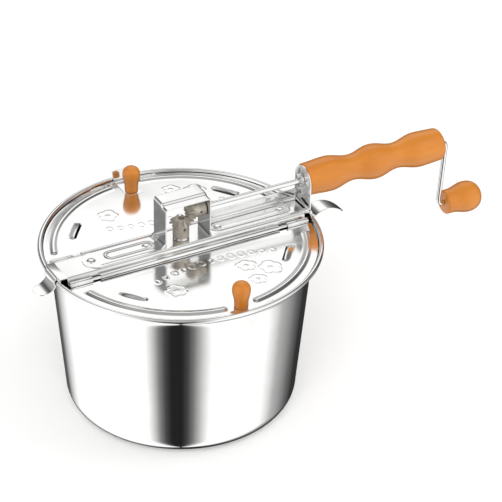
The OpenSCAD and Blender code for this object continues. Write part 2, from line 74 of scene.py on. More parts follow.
POT_T = 1.2 * MM
BEAD_R = 2.2 * MM
BEAD_X = RIM_R - BEAD_R
BEAD_Z = POT_H - BEAD_R
WALL_R = BEAD_X - 8.6 * MM
FLANGE_Z = BEAD_Z - 9 * MM
BASE_R = WALL_R - 12.3 * MM
CORNER_R = 18 * MM
SHEET_T = 1.2 * MM
FLAP_T = 1.0 * MM
FLAP_TOP = HINGE_Z - 1.1 * MM
BARREL_R = 2.9 * MM
STRAP_T = 1.2 * MM
STRAP_TOP = BRIDGE_TOP + STRAP_T
STRAP_HALF = 13 * MM
ROLL_R = 1.5 * MM
ROLL_X = BRIDGE_HIGH.x - ROLL_R
ROLL_Z = BRIDGE_TOP - ROLL_R
ROD_R = 2.5 * MM
SPRING_T = 0.8 * MM
HINGE_PIN_R = 1.5 * MM
SHAFT_R = 3 * MM
GEAR_PIN_R = 1.25 * MM
WALL_END = PIN_X - 0.5 * MM
KNUCKLE_X = WALL_END - 21.5 * MM
BARREL_X = KNUCKLE_X - 8.5 * MM


# ---------------------------------------------------------------- mesh helpers
WELD = 1e-6


def link_mesh(name, verts, faces):
    mesh = bpy.data.meshes.new(name)
    mesh.from_pydata(verts, [], faces)
    obj = bpy.data.objects.new(name, mesh)
    bpy.context.scene.collection.objects.link(obj)
    return obj


def weld(mesh):
    """Merges vertices that coincide and turns all faces the same way out."""
    bm = bmesh.new()
    bm.from_mesh(mesh)
    bmesh.ops.remove_doubles(bm, verts=bm.verts, dist=WELD)
    bmesh.ops.recalc_face_normals(bm, faces=bm.faces)
    bm.to_mesh(mesh)
    bm.free()


def grid_quads(columns, rows):
    ids = np.arange(columns * rows).reshape(columns, rows)
    return np.stack([ids[:-1, :-1], ids[1:, :-1], ids[1:, 1:], ids[:-1, 1:]], -1)


def thicken(obj, thickness, offset):
    sheet = obj.modifiers.new("sheet", "SOLIDIFY")
    sheet.thickness = thickness
    sheet.offset = offset


def bevel_edges(obj, width, angle):
    edges = obj.modifiers.new("edges", "BEVEL")
    edges.width = width
    edges.segments = 2
    edges.limit_method = "ANGLE"
    edges.angle_limit = math.radians(angle)


class Shape:
    """Vertices and faces of one piece, gathered before the mesh is made."""

    def __init__(self):
        self.verts = []
        self.faces = []

    def add(self, verts, faces):
        base = len(self.verts)
        self.verts.extend(tuple(map(float, v)) for v in verts)
        self.faces.extend(tuple(base + int(i) for i in f) for f in faces)

    def object(self, name, sharp=38, bevel=0.0):
        obj = link_mesh(name, self.verts, self.faces)
        weld(obj.data)
        if bevel:
            bevel_edges(obj, bevel, 50)
            bake(obj)
        smooth(obj, sharp)
        return obj


def bake(obj):
    """Applies every modifier of obj to its mesh."""
    bpy.context.view_layer.update()
    graph = bpy.context.evaluated_depsgraph_get()
    mesh = bpy.data.meshes.new_from_object(obj.evaluated_get(graph))
    old = obj.data
    obj.modifiers.clear()
    obj.data = mesh
    bpy.data.meshes.remove(old)


def smooth(obj, sharp):
    obj.data.polygons.foreach_set("use_smooth", [True] * len(obj.data.polygons))
    obj.data.set_sharp_from_angle(angle=math.radians(sharp))


def carve(obj, cutters, sharp=38):
    """Cuts the solids of cutters, a list of objects, out of obj."""
    for cutter in cutters:
        cut = obj.modifiers.new("cut", "BOOLEAN")
        cut.operation = "DIFFERENCE"
        cut.solver = "EXACT"
        cut.object = cutter
    bake(obj)
    for cutter in cutters:
        bpy.data.objects.remove(cutter)
    smooth(obj, sharp)


def arc(cx, cz, radius, a, b, n):
    """Points on an arc, from angle a to angle b in degrees."""
    angles = np.radians(np.linspace(a, b, n + 1))
    return [(cx + radius * math.cos(t), cz + radius * math.sin(t)) for t in angles]


def curve(p, q, s, n):
    """Points on a quadratic curve from p to s pulled towards q, without its first point."""
    steps = [i / n for i in range(1, n + 1)]
    return [tuple((1 - t) ** 2 * p[k] + 2 * t * (1 - t) * q[k] + t * t * s[k] for k in (0, 1)) for t in steps]


def ease(a, b, t):
    return a + (b - a) * (1 - math.cos(math.pi * t)) / 2


def shifted(path, d):
    """The path moved to its left by d, mitred at its corners."""
    p = np.array(path, float)
    step = np.diff(p, axis=0)
    step /= np.linalg.norm(step, axis=1)[:, None]
    left = np.stack([-step[:, 1], step[:, 0]], 1)
    a = np.vstack([left[:1], left])
    b = np.vstack([left, left[-1:]])
    return p + d * (a + b) / (1 + (a * b).sum(1))[:, None]


def ribbon(path, t):
    """Outline of a sheet of thickness t along a centre line."""
    return list(map(tuple, shifted(path, t / 2))) + list(map(tuple, shifted(path, -t / 2)[::-1]))


def prism(shape, outline, lo, hi, place, steps=1, warp=None):
    """An outline extruded from lo to hi. place(u, v, w) gives a point for outline point u, v at length w."""
    n = len(outline)
    rings = [lo + (hi - lo) * i / steps for i in range(steps + 1)]
    verts = [place(u, v, w) for w in rings for u, v in outline]
    if warp:
        verts = [warp(*p) for p in verts]
    faces = [
        (k * n + i, k * n + (i + 1) % n, (k + 1) * n + (i + 1) % n, (k + 1) * n + i)
        for k in range(steps)
        for i in range(n)
    ]
    half = n // 2
    for k, flip in ((0, True), (steps, False)):
        for i in range(half - 1):
            quad = [k * n + i, k * n + i + 1, k * n + n - 2 - i, k * n + n - 1 - i]
            faces.append(tuple(quad[::-1] if flip else quad))
    shape.add(verts, faces)


def along_x(u, v, w):
    return (w, u, v)


def along_y(u, v, w):
    return (u, w, v)


def plate(shape, outline, lo, hi, place):
    """A flat convex outline extruded from lo to hi."""
    n = len(outline)
    verts = [place(u, v, w) for w in (lo, hi) for u, v in outline]
    faces = [(i, (i + 1) % n, n + (i + 1) % n, n + i) for i in range(n)]
    faces += [tuple(range(n))[::-1], tuple(range(n, 2 * n))]
    shape.add(verts, faces)


def axes_for(direction):
    """Two unit vectors square to direction."""
    d = Vector(direction).normalized()
    side = Vector((0, 1, 0)) if abs(d.y) < 0.9 else Vector((1, 0, 0))
    e1 = (side - d * side.dot(d)).normalized()
    return d, e1, d.cross(e1)


def lathe(shape, profile, origin=(0, 0, 0), direction=(0, 0, 1), steps=64, radius_of=None):
    """A (radius, height) profile turned about an axis. Points at radius 0 close the surface."""
    d, e1, e2 = axes_for(direction)
    o = Vector(origin)
    verts, faces, rows = [], [], []
    for r, z in profile:
        if r < 1e-9:
            rows.append([len(verts)] * steps)
            verts.append(o + d * z)
            continue
        row = []
        for k in range(steps):
            a = 2 * math.pi * k / steps
            rr = r if radius_of is None else radius_of(r, z, a)
            row.append(len(verts))
            verts.append(o + d * z + e1 * (rr * math.cos(a)) + e2 * (rr * math.sin(a)))
        rows.append(row)
    for a, b in zip(rows, rows[1:]):
        for k in range(steps):
            m = (k + 1) % steps
            quad = [a[k], a[m], b[m], b[k]]
            face = [v for i, v in enumerate(quad) if v != quad[i - 1]]
            if len(face) > 2:
                faces.append(tuple(face))
    shape.add(verts, faces)


def sweep(shape, points, radii, sides=28):
    """A round bar along 3-D points, closed at both ends. radii is one number or one per point."""
    pts = [Vector(p) for p in points]
    radii = [radii] * len(pts) if isinstance(radii, float) else radii
    d, e1, _ = axes_for(pts[1] - pts[0])
    verts, faces = [], []
    for i, p in enumerate(pts):
        ahead = (pts[min(i + 1, len(pts) - 1)] - pts[max(i - 1, 0)]).normalized()
        e1 = (e1 - ahead * e1.dot(ahead)).normalized()
        e2 = ahead.cross(e1)
        for k in range(sides):
            a = 2 * math.pi * k / sides
            verts.append(p + radii[i] * (e1 * math.cos(a) + e2 * math.sin(a)))
    for i in range(len(pts) - 1):
        for k in range(sides):
            m = (k + 1) % sides
            faces.append((i * sides + k, i * sides + m, (i + 1) * sides + m, (i + 1) * sides + k))
    faces.append(tuple(range(sides))[::-1])
    faces.append(tuple(range((len(pts) - 1) * sides, len(pts) * sides)))
    shape.add(verts, faces)


def bar(name, length, origin, direction, radius, steps=40, crown=0.4 * MM):
    """A straight round bar with softly rounded ends."""
    angles = np.linspace(0, math.pi / 2, 5)
    ends = [(radius - crown + crown * math.sin(a), crown - crown * math.cos(a)) for a in angles]
    profile = [(0, 0)] + ends + [(r, length - z) for r, z in ends[::-1]] + [(0, length)]
    shape = Shape()
    lathe(shape, profile, origin, direction, steps)
    return shape.object(name)


def cylinder_cutter(origin, direction, radius, length, steps=40):
    shape = Shape()
    profile = [(0, 0), (radius, 0), (radius, length), (0, length)]
    lathe(shape, profile, origin, direction, steps)
    return shape.object("cutter")


# ---------------------------------------------------------------- materials
class Nodes:
    """A short way to write a node material."""

    def __init__(self, name):
        self.mat = bpy.data.materials.new(name)
        self.mat.use_nodes = True
        self.tree = self.mat.node_tree
        self.shader = self.tree.nodes["Principled BSDF"]

    def node(self, kind, **values):
        n = self.tree.nodes.new(kind)
        for key, value in values.items():
            if hasattr(n, key):
                setattr(n, key, value)
            else:
                n.inputs[key.replace("_", " ")].default_value = value
        return n

    def link(self, a, b):
        self.tree.links.new(a, b)

    def set(self, **values):
        for key, value in values.items():
            self.shader.inputs[key.replace("_", " ")].default_value = value

    def stretched(self, scale):
        coords = self.node("ShaderNodeTexCoord")
        mapping = self.node("ShaderNodeMapping")
        mapping.inputs["Scale"].default_value = scale
        self.link(coords.outputs["Object"], mapping.inputs["Vector"])
        return mapping.outputs["Vector"]

    def noise(self, scale, detail=3.0, rough=0.5, stretch=(1, 1, 1)):
        n = self.node("ShaderNodeTexNoise", Scale=scale, Detail=detail, Roughness=rough)
        self.link(self.stretched(stretch), n.inputs["Vector"])
        return n.outputs["Fac"]

    def ramp(self, fac, stops):
        n = self.node("ShaderNodeValToRGB")
        while len(n.color_ramp.elements) < len(stops):
            n.color_ramp.elements.new(0.5)
        for element, (place, colour) in zip(n.color_ramp.elements, stops):
            element.position = place
            element.color = (*colour, 1)
        self.link(fac, n.inputs["Fac"])
        return n.outputs["Color"]

    def between(self, fac, lo, hi):
        n = self.node("ShaderNodeMapRange")
        n.inputs["To Min"].default_value = lo
        n.inputs["To Max"].default_value = hi
        self.link(fac, n.inputs["Value"])
        return n.outputs["Result"]

    def bump(self, height, strength, distance):
        n = self.node("ShaderNodeBump", Strength=strength, Distance=distance)
        self.link(height, n.inputs["Height"])
        self.link(n.outputs["Normal"], self.shader.inputs["Normal"])


def grey(v):
    return (v, v, v * 0.99)


def steel(name, base, rough, grain, grain_height, spots=26.0):
    """Bright steel: fine grain along one direction, uneven polish and faint marks."""
    n = Nodes(name)
    n.set(Metallic=1.0)
    cloud = n.noise(spots, 4.0, 0.55)
    levels = [(0.3, grey(base * 0.94)), (0.7, grey(min(1.0, base * 1.03)))]
    n.link(n.ramp(cloud, levels), n.shader.inputs["Base Color"])
    n.link(n.between(cloud, rough * 0.7, rough * 1.35), n.shader.inputs["Roughness"])
    n.bump(n.noise(1.0, 2.0, 0.6, grain), 0.25, grain_height)
    return n.mat


WOOD_STOPS = [(0.40, (0.50, 0.158, 0.006)), (0.62, (0.56, 0.182, 0.008)), (0.85, (0.61, 0.210, 0.012))]
CAST_STOPS = [(0.3, (0.40, 0.355, 0.30)), (0.7, (0.62, 0.57, 0.50))]


def wood(name, along):
    """Honey-stained hardwood under a clear lacquer, with its grain along one axis."""
    n = Nodes(name)
    fine = [900.0, 900.0, 900.0]
    broad = [70.0, 70.0, 70.0]
    fine[along] = 30.0
    broad[along] = 7.0
    grain = n.noise(1.0, 4.0, 0.6, fine)
    bands = n.noise(1.0, 3.0, 0.5, broad)
    mix = n.node("ShaderNodeMath", operation="MULTIPLY_ADD")
    n.link(grain, mix.inputs[0])
    mix.inputs[1].default_value = 0.35
    n.link(bands, mix.inputs[2])
    n.link(n.ramp(mix.outputs[0], WOOD_STOPS), n.shader.inputs["Base Color"])
    n.link(n.between(grain, 0.30, 0.44), n.shader.inputs["Roughness"])
    n.set(Coat_Weight=0.45, Coat_Roughness=0.22, IOR=1.5, Specular_IOR_Level=0.45)
    n.bump(grain, 0.18, 0.0002)
    return n.mat


def cast(name):
    """Matt cast metal of the gears, grey-tan with a sandy skin."""
    n = Nodes(name)
    n.set(Metallic=0.55)
    skin = n.noise(900.0, 5.0, 0.65)
    patch = n.noise(120.0, 3.0, 0.5)
    n.link(n.ramp(patch, CAST_STOPS), n.shader.inputs["Base Color"])
    n.link(n.between(skin, 0.42, 0.62), n.shader.inputs["Roughness"])
    n.bump(skin, 0.5, 0.0002)
    return n.mat


MATERIALS = {
    "polished_steel": steel("polished_steel", 0.93, 0.045, (6.0, 6.0, 1500.0), 0.000004),
    "lid_steel": steel("lid_steel", 0.95, 0.13, (40.0, 900.0, 40.0), 0.00001),
    "sheet_steel": steel("sheet_steel", 0.92, 0.15, (30.0, 1200.0, 1200.0), 0.00001),
    "bright_steel": steel("bright_steel", 0.92, 0.10, (400.0, 400.0, 400.0), 0.00001),
    "dark_steel": steel("dark_steel", 0.06, 0.45, (600.0, 600.0, 600.0), 0.00002),
    "cast_metal": cast("cast_metal"),
    "honey_wood": wood("honey_wood", 0),
}
UPRIGHT_WOOD = wood("honey_wood_upright", 2)


def finish_piece(obj, slot, body, *nodes, material=None):
    obj.data.materials.clear()
    obj.data.materials.append(material or MATERIALS[slot])
    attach(obj, body)
    if nodes:
        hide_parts(*nodes)
    return obj


# ---------------------------------------------------------------- pot
def make_pot():
    lean = math.degrees(math.atan2(WALL_R - BASE_R, FLANGE_Z - CORNER_R))
    flange = math.degrees(math.atan2(BEAD_Z - FLANGE_Z, BEAD_X - WALL_R))
    path = [(0, POT_T / 2), (0.030, POT_T / 2), (0.060, POT_T / 2), (BASE_R - CORNER_R - 2 * MM, POT_T / 2)]
    path += arc(BASE_R - CORNER_R, POT_T / 2 + CORNER_R, CORNER_R, -90, -lean, 18)
    low = path[-1]
    for t in np.linspace(0.1, 0.96, 12):
        path.append((low[0] + (WALL_R - low[0]) * t, low[1] + (FLANGE_Z - low[1]) * t))
    foot = 2.5 * MM
    along = (math.cos(math.radians(flange)), math.sin(math.radians(flange)))
    path += curve(path[-1], (WALL_R, FLANGE_Z), (WALL_R + along[0] * foot, FLANGE_Z + along[1] * foot), 6)
    # a small step pressed half way up the flange
    run = math.hypot(BEAD_X - WALL_R, BEAD_Z - FLANGE_Z)
    for t in np.linspace(0.30, 0.80, 14):
        step = 0.35 * MM * math.tanh((t - 0.5) * 22)
        r = WALL_R + along[0] * run * t + along[1] * step
        path.append((r, FLANGE_Z + along[1] * run * t - along[0] * step))
    path.append((BEAD_X, BEAD_Z))
    inside = [tuple(p) for p in shifted(path, POT_T / 2)]
    outside = [tuple(p) for p in shifted(path, -POT_T / 2)]
    enter = 180 + flange
    half = math.degrees(math.asin(POT_T / 2 / BEAD_R))
    bead = arc(BEAD_X, BEAD_Z, BEAD_R, enter - half, enter - 360 + half, 28)
    profile = inside[:-1] + bead + outside[-2::-1]
    profile = [(max(r, 0.0), max(z, 0.0)) for r, z in profile]
    shape = Shape()
    lathe(shape, profile, steps=256)
    finish_piece(shape.object("pot_shell", sharp=50), "polished_steel", "pot", "pot")


# ---------------------------------------------------------------- lid flaps
RIB_AT = FLAP_R - 9.2 * MM
PLATE_START = HINGE_Y + 3.2 * MM
VENT_R = 99 * MM
VENT_ANGLE = 38
VENT_HALF = 13.6 * MM
VENT_LIP = 2.45 * MM
VENT_RISE = 2.3 * MM
RELIEF_TOP = 3.6 * MM
KERNELS = 13
PUFFS = [
    # popcorn puffs pressed in the plate: centre along and away from the bridge, size
    (34, 62, 7.5), (52, 74, 9.0), (33, 86, 6.5), (-40, 70, 8.0),
]


def bell(d, width):
    return np.exp(-(d / width) ** 2)


def smoothstep(x, lo, hi):
    t = np.clip((x - lo) / (hi - lo), 0, 1)
    return t * t * (3 - 2 * t)


def vent_frame(x, d, side):
    """Distances along and outwards across the vent on one side of the flap."""
    a = math.radians(VENT_ANGLE if side > 0 else 180 - VENT_ANGLE)
    radial = x * math.cos(a) + d * math.sin(a) - VENT_R
    tangent = -x * math.sin(a) + d * math.cos(a)
    return tangent, radial


def relief(x, d):
    """Height pressed into a flap at x along the bridge and d away from the middle."""
    rho = np.hypot(x, d)
    phi = np.degrees(np.arctan2(d, x))
    away = np.abs(phi - 90)
    ends = smoothstep(90 - away, 16.5, 18.5) * smoothstep(away, 6.0, 8.0)
    h = 1.6 * MM * ends * bell(rho - RIB_AT, 2.7 * MM)
    h -= 0.45 * MM * smoothstep(rho, FLAP_R - 5.0 * MM, FLAP_R - 0.5 * MM)
    # a slight crown across the plate
    crown = 1 - ((d - 0.070) / 0.050) ** 2 * (d < 0.120) - (x / 0.125) ** 2
    h += 0.8 * MM * crown * smoothstep(d, 0.022, 0.034)
    # gentle unevenness of pressed sheet
    h += 0.05 * MM * np.sin(x * 61 + 1.3) * np.cos(d * 83 + 0.4) + 0.03 * MM * np.sin(x * 140 + d * 95)
    # lanced vents: a hood that rises inwards to an open lip
    for side in (-1, 1):
        s, t = vent_frame(x, d, side)
        length = np.clip(1 - (s / VENT_HALF) ** 2, 0, 1) ** 0.5
        rise = smoothstep(-t, -4.2 * MM, 2.0 * MM) * (-t < VENT_LIP)
        h += VENT_RISE * length * rise
    # popcorn puffs: a raised outline round a cluster of lobes
    for cx, cd, size in PUFFS:
        field = np.full_like(x, 1.0)
        for k in range(5):
            a = math.radians(72 * k + 4 * cx)
            ox = (cx + 0.62 * size * math.cos(a)) * MM
            od = (cd + 0.62 * size * math.sin(a)) * MM
            field = np.minimum(field, np.hypot(x - ox, d - od) - size * (0.52 + 0.08 * (k % 2)) * MM)
        h += 0.40 * MM * bell(field, 0.75 * MM) + 0.12 * MM * smoothstep(-field, 0, 2 * MM)
        h += 0.25 * MM * bell(np.hypot(x - cx * MM, d - cd * MM) - 0.22 * size * MM, 0.7 * MM)
    # a garland of plain kernels, side by side on a shallow arc
    for k in range(KERNELS):
        u = 2 * k / (KERNELS - 1) - 1
        cx = (10 + 58 * u) * MM
        cd = (40 + 9 * u * u) * MM
        lean = 0.35 * math.sin(3.1 * k)
        px = (x - cx) * math.cos(lean) + (d - cd) * math.sin(lean)
        pd = -(x - cx) * math.sin(lean) + (d - cd) * math.cos(lean)
        field = np.hypot(px / 0.72, pd) - (3.4 + 0.4 * math.sin(5 * k)) * MM
        h += 0.32 * MM * bell(field, 0.7 * MM)
    return h


def make_flap(name, side, body, node):
    """side is -1 for the front flap and +1 for the rear one."""
    columns, rows = 430, 176
    reach = math.sqrt(FLAP_R ** 2 - PLATE_START ** 2)
    u = np.linspace(-math.pi / 2, math.pi / 2, columns)
    x = (reach * np.sin(u))[:, None] * np.ones((1, rows))
    far = np.sqrt(np.maximum(FLAP_R ** 2 - x ** 2, PLATE_START ** 2))
    v = np.linspace(0, 1, rows)[None, :]
    d = PLATE_START + (far - PLATE_START) * v
    # the faces under each hood's open lip are left out
    cut = np.zeros(x.shape)
    for s_side in (-1, 1):
        s, t = vent_frame(x, d, s_side)
        open_hole = (np.abs(s) < 12.2 * MM) & (-t > VENT_LIP) & (-t < 4.4 * MM)
        cut = np.maximum(cut, open_hole)
    z = FLAP_TOP + relief(x, d)
    z = np.minimum(z, FLAP_TOP + RELIEF_TOP)
    verts = np.stack([x, side * d, z], -1).reshape(-1, 3)
    solid = (cut[:-1, :-1] + cut[1:, :-1] + cut[1:, 1:] + cut[:-1, 1:]) < 3
    faces = grid_quads(columns, rows)[solid]
    if side > 0:
        faces = faces[:, ::-1]
    obj = link_mesh(name, verts.tolist(), faces[:, ::-1].tolist())
    mesh = obj.data
    weld(mesh)
    if mesh.polygons[len(mesh.polygons) // 2].normal.z < 0:
        mesh.flip_normals()
    thicken(obj, FLAP_T, -1)
    bake(obj)
    smooth(obj, 40)
    # the hinge edge, rolled round its pin
    centre_line = FLAP_TOP - FLAP_T / 2
    roll = BARREL_R - 0.45 * MM
    dip = math.degrees(math.asin((HINGE_Z - centre_line) / roll))
    path = [(PLATE_START + 1.2 * MM, centre_line), (HINGE_Y + roll + 0.7 * MM, centre_line)]
    path += arc(HINGE_Y, HINGE_Z, roll, -dip, -348, 34)
    shape = Shape()
    outline = [(side * p, q) for p, q in ribbon(path, 0.9 * MM)]
    prism(shape, outline, -BARREL_X, BARREL_X, along_x)
    hinge = shape.object(name + "_roll", bevel=0.1 * MM)
    finish_piece(hinge, "lid_steel", body)
    finish_piece(obj, "lid_steel", body, node)


# ---------------------------------------------------------------- bridge and bracket
def make_bridge():
    half = 14.2 * MM
    spread = 2 * MM
    foot = HINGE_Z - BARREL_R
    top = BRIDGE_TOP - SHEET_T / 2
    bend = 1.6 * MM
    lean = math.degrees(math.atan2(spread, top - foot))
    right = [(half + spread, foot)] + arc(half - bend + 0.25 * MM, top - bend, bend, lean, 90, 6)
    path = right + [(-p, q) for p, q in right[::-1]]
    shape = Shape()
    prism(shape, ribbon(path, SHEET_T), -WALL_END, WALL_END, along_x)
    # flat ends with a rolled lip
    for end in (-1, 1):
        lip = [(WALL_END - 1 * MM, top), (ROLL_X, top)]
        lip += arc(ROLL_X, ROLL_Z, ROLL_R - SHEET_T / 2, 90, -170, 18)[1:]
        outline = [(end * p, q) for p, q in ribbon(lip, SHEET_T * 0.98)]
        prism(shape, outline, -half, half, along_y)
    # knuckles rolled out of the side walls
    for end in (-1, 1):
        for side in (-1, 1):
            roll = BARREL_R - SHEET_T / 2
            low = foot + SHEET_T / 2
            knuckle = [(half + spread - 0.5 * MM, low), (HINGE_Y - 1.5 * MM, low)]
            knuckle += arc(HINGE_Y, HINGE_Z, roll, -90, 158, 26)
            outline = [(side * p, q) for p, q in ribbon(knuckle, SHEET_T)]
            lo, hi = sorted((end * KNUCKLE_X, end * WALL_END))
            prism(shape, outline, lo, hi, along_x)
    finish_piece(shape.object("bridge_channel", bevel=0.12 * MM), "sheet_steel", "lid", "bridge")


def stadium(x, y, lo, hi, radius):
    """Distance to the outline of a long slot with round ends."""
    dx = np.maximum(np.maximum(lo - x, x - hi), 0)
    return np.hypot(dx, y) - radius


def make_bracket():
    left = BRACKET_LOW.x
    columns, rows = 330, 44
    u = np.linspace(0, 1, columns)
    x = left + (PLATE_X - 1.6 * MM - left) * (0.12 * u ** 2.2 + 0.88 * u)
    inside = np.clip(STRAP_HALF - (x - left), 0, STRAP_HALF)
    width = np.sqrt(np.maximum(STRAP_HALF ** 2 - inside ** 2, 1e-9))
    v = np.linspace(-1, 1, rows)
    gx = x[:, None] * np.ones((1, rows))
    gy = width[:, None] * v[None, :]
    ridge = bell(stadium(gx, gy, 0.037, 0.103, 7.0 * MM), 1.25 * MM)
    ridge = np.maximum(ridge, bell(stadium(gx, gy, -0.070, -0.035, 5.5 * MM), 1.25 * MM))
    edge = bell(np.abs(gy) - (STRAP_HALF - 1.6 * MM), 0.9 * MM) * (gx > left + STRAP_HALF)
    hidden = smoothstep(np.abs(gx - 1.5 * MM), 26 * MM, 29 * MM)
    gz = STRAP_TOP + hidden * (0.85 * MM * ridge + 0.35 * MM * edge)
    verts = np.stack([gx, gy, gz], -1).reshape(-1, 3)
    faces = grid_quads(columns, rows).reshape(-1, 4)
    strap = link_mesh("bracket_strap", verts.tolist(), faces.tolist())
    thicken(strap, STRAP_T, -1)
    bevel_edges(strap, 0.12 * MM, 60)
    bake(strap)
    smooth(strap, 40)
    finish_piece(strap, "sheet_steel", "lid", "handle_bracket")

    # arched end plate, bent up out of the strap
    shape = Shape()
    arch_r = BRACKET_HIGH.y
    middle = PLATE_X - STRAP_T / 2
    bend = 1.8 * MM
    low = STRAP_TOP + bend - STRAP_T / 2
    outline = [(-arch_r, low), (arch_r, low)] + arc(0, AXIS_Z, arch_r, 0, 180, 40)
    plate(shape, outline, PLATE_X - STRAP_T, PLATE_X, along_x)
    corner = [(PLATE_X - 5 * MM, STRAP_TOP - STRAP_T / 2)]
    corner += arc(middle - bend, STRAP_TOP - STRAP_T / 2 + bend, bend, -90, 0, 8)
    prism(shape, ribbon(corner, STRAP_T), -STRAP_HALF, STRAP_HALF, along_y)
    end_plate = shape.object("bracket_end_plate", bevel=0.2 * MM)
    finish_piece(end_plate, "sheet_steel", "lid")

    # rear lip with its small hole
    shape = Shape()
    lip_bend = 1.6 * MM
    inner_y = STRAP_HALF - STRAP_T / 2
    path = [(inner_y - 5 * MM, STRAP_TOP - STRAP_T / 2)]
    path += arc(inner_y - lip_bend, STRAP_TOP - STRAP_T / 2 + lip_bend, lip_bend, -90, 0, 8)
    path += [(inner_y, BRIDGE_TOP + 11 * MM)]
    prism(shape, ribbon(path, STRAP_T), HOUSE_HIGH.x - 0.5 * MM, PLATE_X - 1.4 * MM, along_x)
    lip = shape.object("bracket_lip", bevel=0.15 * MM)
    at_hole = (PLATE_X - 34 * MM, STRAP_HALF + 2 * MM, BRIDGE_TOP + 7 * MM)
    carve(lip, [cylinder_cutter(at_hole, (0, -1, 0), 1.2 * MM, 5 * MM)])
    finish_piece(lip, "sheet_steel", "lid")


def make_rivets():
    shape = Shape()
    for x in (BRACKET_LOW.x + 8 * MM, -35 * MM, 37 * MM, PLATE_X - 25 * MM):
        head = [(0, 1.5), (1.2, 1.46), (2.2, 1.3), (3.1, 0.95), (3.8, 0.5), (4.15, 0.12), (4.2, 0.0)]
        head += [(4.0, -0.15)]
        shank = [(2.0, -0.2), (2.0, -2.4), (3.5, -2.4), (3.5, -3.2), (3.0, -3.4), (0, -3.4)]
        profile = [(r * MM, z * MM) for r, z in head + shank]
        lathe(shape, profile, (x, 0, STRAP_TOP), steps=48)
    finish_piece(shape.object("rivet_heads", sharp=50), "bright_steel", "lid", "bracket_rivets")


def make_housing():
    low_x, high_x = -21.5 * MM, 24.5 * MM
    half_y = HOUSE_HIGH.y
    top = HOUSE_HIGH.z - SHEET_T / 2
    drop = 2.2 * MM
    bend = 2.2 * MM
    t = SHEET_T
    path = [(low_x + t / 2, STRAP_TOP)]
    path += [(low_x + t / 2, STRAP_TOP + (top - bend - STRAP_TOP) * k / 8) for k in range(1, 8)]
    path += arc(low_x + t / 2 + bend, top - bend, bend, 180, 90, 8)
    path += [(low_x + bend + (high_x - low_x - 2 * bend) * k / 6, top) for k in range(1, 6)]
    path += arc(high_x - t / 2 - bend, top - bend, bend, 90, 0, 8)
    path += [(high_x - t / 2, top - bend - (top - bend - STRAP_TOP) * k / 8) for k in range(1, 9)]

    def joggle(x, y, z):
        share = max(0.0, (z - top + 8 * MM) / (8 * MM))
        down = drop * (1 - float(smoothstep(np.array(y), -0.45 * half_y, -0.15 * half_y)))
        return (x, y, z - down * min(1.0, share))

    shape = Shape()
    prism(shape, ribbon(path, t), -half_y, half_y, along_y, steps=40, warp=joggle)
    for x, reach in ((low_x, -4 * MM), (high_x, 2 * MM)):
        for y in (-half_y, half_y - 3 * MM):
            a, b = sorted((x, x + reach))
            ear = [(a, STRAP_TOP), (b, STRAP_TOP), (b, STRAP_TOP + 1 * MM), (a, STRAP_TOP + 1 * MM)]
            if reach < 0:
                ear[-1] = (a, STRAP_TOP + 0.5 * MM)
                ear.append((x, STRAP_TOP + 4.5 * MM))
                ear = [ear[0], ear[1], ear[4], ear[3]]
            plate(shape, ear, y, y + 3 * MM, along_y)
    house = shape.object("gear_housing_sheet", bevel=0.12 * MM)
    carve(house, [cylinder_cutter((high_x - 4 * MM, 0, AXIS_Z), (1, 0, 0), ROD_R + 0.25 * MM, 8 * MM)])
    finish_piece(house, "sheet_steel", "lid", "gear_housing")


def make_hinge_pins():
    for name, y in (("front_hinge_pin", -HINGE_Y), ("rear_hinge_pin", HINGE_Y)):
        pin = bar(name + "_bar", 2 * PIN_X, (-PIN_X, y, HINGE_Z), (1, 0, 0), HINGE_PIN_R)
        finish_piece(pin, "bright_steel", "lid", name)


# ---------------------------------------------------------------- wood
def grip_radius(t):
    swell, waist = 16.6 * MM, 12.2 * MM
    stops = (0, 0.17, 0.34, 0.5, 0.665, 0.83, 1)
    radii = (swell - 1.3 * MM, swell, waist, swell, waist, swell, swell - 1 * MM)
    k = max(i for i in range(6) if t >= stops[i])
    return ease(radii[k], radii[k + 1], (t - stops[k]) / (stops[k + 1] - stops[k]))


def make_grip():
    edge = 1.2 * MM
    round_r = 4 * MM
    body = GRIP_LEN - round_r
    start = grip_radius(0)
    profile = [(ROD_R + 0.6 * MM, GRIP_LEN), (ROD_R + 0.6 * MM, 0)]
    profile += arc(start - edge, edge, edge, -90, 0, 5)
    profile += [(grip_radius(z / GRIP_LEN), z) for z in np.linspace(edge, body, 150)[1:]]
    profile += arc(grip_radius(1) - round_r, body, round_r, 0, 90, 10)[1:]
    profile += [(ROD_R + 0.6 * MM, GRIP_LEN)]
    shape = Shape()
    lathe(shape, profile, (GRIP_LOW.x, 0, AXIS_Z), (1, 0, 0), 96)
    finish_piece(shape.object("grip_wood", sharp=60), "honey_wood", "lid", "grip")


FLAP_KNOB_FOOT_R = 6.4 * MM
HAND_KNOB_FOOT_R = 11.7 * MM


def knob_profile(length, foot_r, bulb_r, foot_len, bulb_at):
    profile = [(0, 0), (foot_r - 0.9 * MM, 0), (foot_r - 0.25 * MM, 0.25 * MM), (foot_r, 0.9 * MM)]
    for t in np.linspace(0, 1, 30):
        profile.append((ease(foot_r, bulb_r, t), foot_len + (bulb_at - foot_len) * t))
    for a in np.radians(np.linspace(0, 90, 30))[1:]:
        r = bulb_r * math.cos(a) ** 0.72 if a < math.pi / 2 - 1e-6 else 0
        profile.append((r, bulb_at + (length - bulb_at) * math.sin(a) ** 0.95))
    return profile


